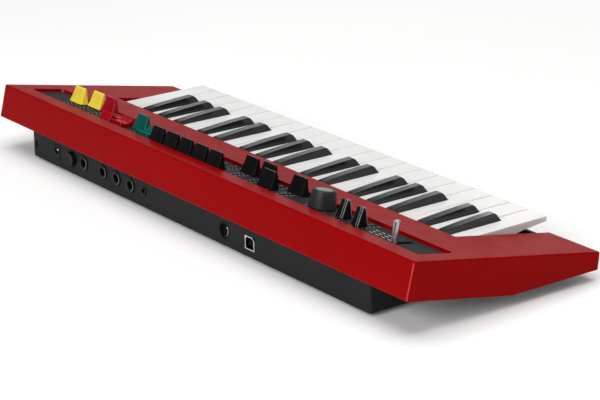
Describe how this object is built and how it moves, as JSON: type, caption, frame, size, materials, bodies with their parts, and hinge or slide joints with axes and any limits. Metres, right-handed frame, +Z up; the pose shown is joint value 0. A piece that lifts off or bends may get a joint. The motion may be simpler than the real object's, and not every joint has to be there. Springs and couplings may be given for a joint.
{
  "type": "combo organ",
  "caption": "Compact combo organ: wedge-shaped red upper case on a black lower case, small keys, drawbars, rockers and sliders in a sunken panel, sockets on the rear.",
  "frame": {"origin": "under the middle of the instrument, at the bottom of its feet", "axes": "+X along the keyboard towards the player's right, +Y from the player to the rear, +Z up"},
  "size_m": [0.53, 0.17, 0.0615],
  "materials": {
    "red_plastic": "semi-gloss",
    "black_plastic": "fine texture",
    "panel_plastic": "satin",
    "white_key": "gloss",
    "black_key": "satin",
    "black_cap": "satin",
    "yellow_cap": "gloss",
    "green_cap": "gloss",
    "red_cap": "gloss",
    "steel": "polished",
    "board": "satin",
    "grey_plastic": "satin",
    "paper": "matte",
    "rubber": "matte"
  },
  "bodies": {
    "case": {"upper_case": "red_plastic", "lower_case": "black_plastic", "control_panel": "panel_plastic", "key_frame": "grey_plastic", "panel_board": "board", "jack_board": "board", "speaker_left": "paper", "speaker_right": "paper", "foot_1": "rubber", "foot_2": "rubber", "foot_3": "rubber", "foot_4": "rubber"},
    "key_01_c": {"key_01_c": "white_key"},
    "key_02_c_sharp": {"key_02_c_sharp": "black_key"},
    "key_03_d": {"key_03_d": "white_key"},
    "key_04_d_sharp": {"key_04_d_sharp": "black_key"},
    "key_05_e": {"key_05_e": "white_key"},
    "key_06_f": {"key_06_f": "white_key"},
    "key_07_f_sharp": {"key_07_f_sharp": "black_key"},
    "key_08_g": {"key_08_g": "white_key"},
    "key_09_g_sharp": {"key_09_g_sharp": "black_key"},
    "key_10_a": {"key_10_a": "white_key"},
    "key_11_a_sharp": {"key_11_a_sharp": "black_key"},
    "key_12_b": {"key_12_b": "white_key"},
    "key_13_c": {"key_13_c": "white_key"},
    "key_14_c_sharp": {"key_14_c_sharp": "black_key"},
    "key_15_d": {"key_15_d": "white_key"},
    "key_16_d_sharp": {"key_16_d_sharp": "black_key"},
    "key_17_e": {"key_17_e": "white_key"},
    "key_18_f": {"key_18_f": "white_key"},
    "key_19_f_sharp": {"key_19_f_sharp": "black_key"},
    "key_20_g": {"key_20_g": "white_key"},
    "key_21_g_sharp": {"key_21_g_sharp": "black_key"},
    "key_22_a": {"key_22_a": "white_key"},
    "key_23_a_sharp": {"key_23_a_sharp": "black_key"},
    "key_24_b": {"key_24_b": "white_key"},
    "keys_top_white": {"keys_top_white": "white_key"},
    "keys_top_black": {"keys_top_black": "black_key"},
    "drawbar_9": {"drawbar_9": "black_cap"},
    "drawbar_8": {"drawbar_8": "black_cap"},
    "drawbar_7": {"drawbar_7": "black_cap"},
    "drawbar_6": {"drawbar_6": "black_cap"},
    "drawbar_5": {"drawbar_5": "black_cap"},
    "drawbar_4": {"drawbar_4": "black_cap"},
    "drawbar_3": {"drawbar_3": "black_cap"},
    "drawbar_2": {"drawbar_2": "black_cap"},
    "drawbar_1": {"drawbar_1": "black_cap"},
    "vibrato_slider": {"vibrato_slider": "green_cap"},
    "percussion_slider": {"percussion_slider": "red_cap"},
    "reverb_slider": {"reverb_slider": "yellow_cap"},
    "drive_slider": {"drive_slider": "yellow_cap"},
    "octave_slider": {"octave_slider": "black_cap"},
    "volume_slider": {"volume_slider": "black_cap"},
    "percussion_rocker_1": {"percussion_rocker_1": "red_cap"},
    "percussion_rocker_2": {"percussion_rocker_2": "red_cap"},
    "vibrato_rocker": {"vibrato_rocker": "green_cap"},
    "voice_knob": {"voice_knob": "grey_plastic"},
    "rotary_lever": {"rotary_lever": "steel"},
    "power_button": {"power_button": "black_plastic"},
    "battery_door": {"battery_door": "black_plastic"}
  },
  "joints": [
    {"name": "key_01_c_press", "type": "hinge", "parent": "case", "child": "key_01_c", "pos_m": [-0.20433, 0.03433, 0.0266], "axis": [1, 0, 0], "range_deg": [0, 3.64], "stiffness_Nm_per_rad": 0.35, "springref_deg": -5.73},
    {"name": "key_02_c_sharp_press", "type": "hinge", "parent": "case", "child": "key_02_c_sharp", "pos_m": [-0.19606, 0.03433, 0.0266], "axis": [1, 0, 0], "range_deg": [0, 3.64], "stiffness_Nm_per_rad": 0.35, "springref_deg": -5.73},
    {"name": "key_03_d_press", "type": "hinge", "parent": "case", "child": "key_03_d", "pos_m": [-0.18487, 0.03433, 0.0266], "axis": [1, 0, 0], "range_deg": [0, 3.64], "stiffness_Nm_per_rad": 0.35, "springref_deg": -5.73},
    {"name": "key_04_d_sharp_press", "type": "hinge", "parent": "case", "child": "key_04_d_sharp", "pos_m": [-0.17346, 0.03433, 0.0266], "axis": [1, 0, 0], "range_deg": [0, 3.64], "stiffness_Nm_per_rad": 0.35, "springref_deg": -5.73},
    {"name": "key_05_e_press", "type": "hinge", "parent": "case", "child": "key_05_e", "pos_m": [-0.16541, 0.03433, 0.0266], "axis": [1, 0, 0], "range_deg": [0, 3.64], "stiffness_Nm_per_rad": 0.35, "springref_deg": -5.73},
    {"name": "key_06_f_press", "type": "hinge", "parent": "case", "child": "key_06_f", "pos_m": [-0.14595, 0.03433, 0.0266], "axis": [1, 0, 0], "range_deg": [0, 3.64], "stiffness_Nm_per_rad": 0.35, "springref_deg": -5.73},
    {"name": "key_07_f_sharp_press", "type": "hinge", "parent": "case", "child": "key_07_f_sharp", "pos_m": [-0.13926, 0.03433, 0.0266], "axis": [1, 0, 0], "range_deg": [0, 3.64], "stiffness_Nm_per_rad": 0.35, "springref_deg": -5.73},
    {"name": "key_08_g_press", "type": "hinge", "parent": "case", "child": "key_08_g", "pos_m": [-0.12649, 0.03433, 0.0266], "axis": [1, 0, 0], "range_deg": [0, 3.64], "stiffness_Nm_per_rad": 0.35, "springref_deg": -5.73},
    {"name": "key_09_g_sharp_press", "type": "hinge", "parent": "case", "child": "key_09_g_sharp", "pos_m": [-0.11646, 0.03433, 0.0266], "axis": [1, 0, 0], "range_deg": [0, 3.64], "stiffness_Nm_per_rad": 0.35, "springref_deg": -5.73},
    {"name": "key_10_a_press", "type": "hinge", "parent": "case", "child": "key_10_a", "pos_m": [-0.10703, 0.03433, 0.0266], "axis": [1, 0, 0], "range_deg": [0, 3.64], "stiffness_Nm_per_rad": 0.35, "springref_deg": -5.73},
    {"name": "key_11_a_sharp_press", "type": "hinge", "parent": "case", "child": "key_11_a_sharp", "pos_m": [-0.09436, 0.03433, 0.0266], "axis": [1, 0, 0], "range_deg": [0, 3.64], "stiffness_Nm_per_rad": 0.35, "springref_deg": -5.73},
    {"name": "key_12_b_press", "type": "hinge", "parent": "case", "child": "key_12_b", "pos_m": [-0.08757, 0.03433, 0.0266], "axis": [1, 0, 0], "range_deg": [0, 3.64], "stiffness_Nm_per_rad": 0.35, "springref_deg": -5.73},
    {"name": "key_13_c_press", "type": "hinge", "parent": "case", "child": "key_13_c", "pos_m": [-0.06811, 0.03433, 0.0266], "axis": [1, 0, 0], "range_deg": [0, 3.64], "stiffness_Nm_per_rad": 0.35, "springref_deg": -5.73},
    {"name": "key_14_c_sharp_press", "type": "hinge", "parent": "case", "child": "key_14_c_sharp", "pos_m": [-0.05984, 0.03433, 0.0266], "axis": [1, 0, 0], "range_deg": [0, 3.64], "stiffness_Nm_per_rad": 0.35, "springref_deg": -5.73},
    {"name": "key_15_d_press", "type": "hinge", "parent": "case", "child": "key_15_d", "pos_m": [-0.04865, 0.03433, 0.0266], "axis": [1, 0, 0], "range_deg": [0, 3.64], "stiffness_Nm_per_rad": 0.35, "springref_deg": -5.73},
    {"name": "key_16_d_sharp_press", "type": "hinge", "parent": "case", "child": "key_16_d_sharp", "pos_m": [-0.03724, 0.03433, 0.0266], "axis": [1, 0, 0], "range_deg": [0, 3.64], "stiffness_Nm_per_rad": 0.35, "springref_deg": -5.73},
    {"name": "key_17_e_press", "type": "hinge", "parent": "case", "child": "key_17_e", "pos_m": [-0.02919, 0.03433, 0.0266], "axis": [1, 0, 0], "range_deg": [0, 3.64], "stiffness_Nm_per_rad": 0.35, "springref_deg": -5.73},
    {"name": "key_18_f_press", "type": "hinge", "parent": "case", "child": "key_18_f", "pos_m": [-0.00973, 0.03433, 0.0266], "axis": [1, 0, 0], "range_deg": [0, 3.64], "stiffness_Nm_per_rad": 0.35, "springref_deg": -5.73},
    {"name": "key_19_f_sharp_press", "type": "hinge", "parent": "case", "child": "key_19_f_sharp", "pos_m": [-0.00304, 0.03433, 0.0266], "axis": [1, 0, 0], "range_deg": [0, 3.64], "stiffness_Nm_per_rad": 0.35, "springref_deg": -5.73},
    {"name": "key_20_g_press", "type": "hinge", "parent": "case", "child": "key_20_g", "pos_m": [0.00973, 0.03433, 0.0266], "axis": [1, 0, 0], "range_deg": [0, 3.64], "stiffness_Nm_per_rad": 0.35, "springref_deg": -5.73},
    {"name": "key_21_g_sharp_press", "type": "hinge", "parent": "case", "child": "key_21_g_sharp", "pos_m": [0.01976, 0.03433, 0.0266], "axis": [1, 0, 0], "range_deg": [0, 3.64], "stiffness_Nm_per_rad": 0.35, "springref_deg": -5.73},
    {"name": "key_22_a_press", "type": "hinge", "parent": "case", "child": "key_22_a", "pos_m": [0.02919, 0.03433, 0.0266], "axis": [1, 0, 0], "range_deg": [0, 3.64], "stiffness_Nm_per_rad": 0.35, "springref_deg": -5.73},
    {"name": "key_23_a_sharp_press", "type": "hinge", "parent": "case", "child": "key_23_a_sharp", "pos_m": [0.04186, 0.03433, 0.0266], "axis": [1, 0, 0], "range_deg": [0, 3.64], "stiffness_Nm_per_rad": 0.35, "springref_deg": -5.73},
    {"name": "key_24_b_press", "type": "hinge", "parent": "case", "child": "key_24_b", "pos_m": [0.04865, 0.03433, 0.0266], "axis": [1, 0, 0], "range_deg": [0, 3.64], "stiffness_Nm_per_rad": 0.35, "springref_deg": -5.73},
    {"name": "keys_top_white_press", "type": "hinge", "parent": "case", "child": "keys_top_white", "pos_m": [0.13622, 0.03433, 0.0266], "axis": [1, 0, 0], "range_deg": [0, 3.64], "stiffness_Nm_per_rad": 2.8, "springref_deg": -5.73},
    {"name": "keys_top_black_press", "type": "hinge", "parent": "case", "child": "keys_top_black", "pos_m": [0.1272, 0.03433, 0.0266], "axis": [1, 0, 0], "range_deg": [0, 3.64], "stiffness_Nm_per_rad": 1.75, "springref_deg": -5.73},
    {"name": "drawbar_9_slide", "type": "slide", "parent": "case", "child": "drawbar_9", "axis": [0, 0.9822, 0.1876], "range_m": [-0.021, 0]},
    {"name": "drawbar_8_slide", "type": "slide", "parent": "case", "child": "drawbar_8", "axis": [0, 0.9822, 0.1876], "range_m": [-0.021, 0]},
    {"name": "drawbar_7_slide", "type": "slide", "parent": "case", "child": "drawbar_7", "axis": [0, 0.9822, 0.1876], "range_m": [-0.021, 0]},
    {"name": "drawbar_6_slide", "type": "slide", "parent": "case", "child": "drawbar_6", "axis": [0, 0.9822, 0.1876], "range_m": [-0.021, 0]},
    {"name": "drawbar_5_slide", "type": "slide", "parent": "case", "child": "drawbar_5", "axis": [0, 0.9822, 0.1876], "range_m": [-0.021, 0]},
    {"name": "drawbar_4_slide", "type": "slide", "parent": "case", "child": "drawbar_4", "axis": [0, 0.9822, 0.1876], "range_m": [-0.0021, 0.0189]},
    {"name": "drawbar_3_slide", "type": "slide", "parent": "case", "child": "drawbar_3", "axis": [0, 0.9822, 0.1876], "range_m": [-0.0004, 0.0206]},
    {"name": "drawbar_2_slide", "type": "slide", "parent": "case", "child": "drawbar_2", "axis": [0, 0.9822, 0.1876], "range_m": [-0.0146, 0.0064]},
    {"name": "drawbar_1_slide", "type": "slide", "parent": "case", "child": "drawbar_1", "axis": [0, 0.9822, 0.1876], "range_m": [-0.0016, 0.0194]},
    {"name": "vibrato_slider_slide", "type": "slide", "parent": "case", "child": "vibrato_slider", "axis": [0, 0.9822, 0.1876], "range_m": [-0.0094, 0.0116]},
    {"name": "percussion_slider_slide", "type": "slide", "parent": "case", "child": "percussion_slider", "axis": [0, 0.9822, 0.1876], "range_m": [0, 0.021]},
    {"name": "reverb_slider_slide", "type": "slide", "parent": "case", "child": "reverb_slider", "axis": [0, 0.9822, 0.1876], "range_m": [-0.0054, 0.0156]},
    {"name": "drive_slider_slide", "type": "slide", "parent": "case", "child": "drive_slider", "axis": [0, 0.9822, 0.1876], "range_m": [0, 0.021]},
    {"name": "octave_slider_slide", "type": "slide", "parent": "case", "child": "octave_slider", "axis": [0, 0.9822, 0.1876], "range_m": [-0.014, 0.007]},
    {"name": "volume_slider_slide", "type": "slide", "parent": "case", "child": "volume_slider", "axis": [0, 0.9822, 0.1876], "range_m": [-0.0115, 0.0095]},
    {"name": "percussion_rocker_1_tip", "type": "hinge", "parent": "case", "child": "percussion_rocker_1", "pos_m": [0.1447, 0.05274, 0.03971], "axis": [1, 0, 0], "range_deg": [-24, 0]},
    {"name": "percussion_rocker_2_tip", "type": "hinge", "parent": "case", "child": "percussion_rocker_2", "pos_m": [0.1255, 0.05274, 0.03971], "axis": [1, 0, 0], "range_deg": [0, 24]},
    {"name": "vibrato_rocker_tip", "type": "hinge", "parent": "case", "child": "vibrato_rocker", "pos_m": [0.088, 0.05274, 0.03971], "axis": [1, 0, 0], "range_deg": [0, 24]},
    {"name": "voice_knob_turn", "type": "hinge", "parent": "case", "child": "voice_knob", "pos_m": [-0.127, 0.04795, 0.04612], "axis": [0, -0.1876, 0.9822], "range_deg": [-60, 60]},
    {"name": "rotary_lever_slide", "type": "slide", "parent": "case", "child": "rotary_lever", "axis": [0, 0.9822, 0.1876], "range_m": [-0.014, 0]},
    {"name": "power_button_press", "type": "slide", "parent": "case", "child": "power_button", "axis": [0, -1, 0], "range_m": [0, 0.002], "stiffness_N_per_m": 500, "springref_m": -0.002},
    {"name": "battery_door_lift", "type": "slide", "parent": "case", "child": "battery_door", "axis": [0, 0, -1], "range_m": [0, 0.02]}
  ]
}
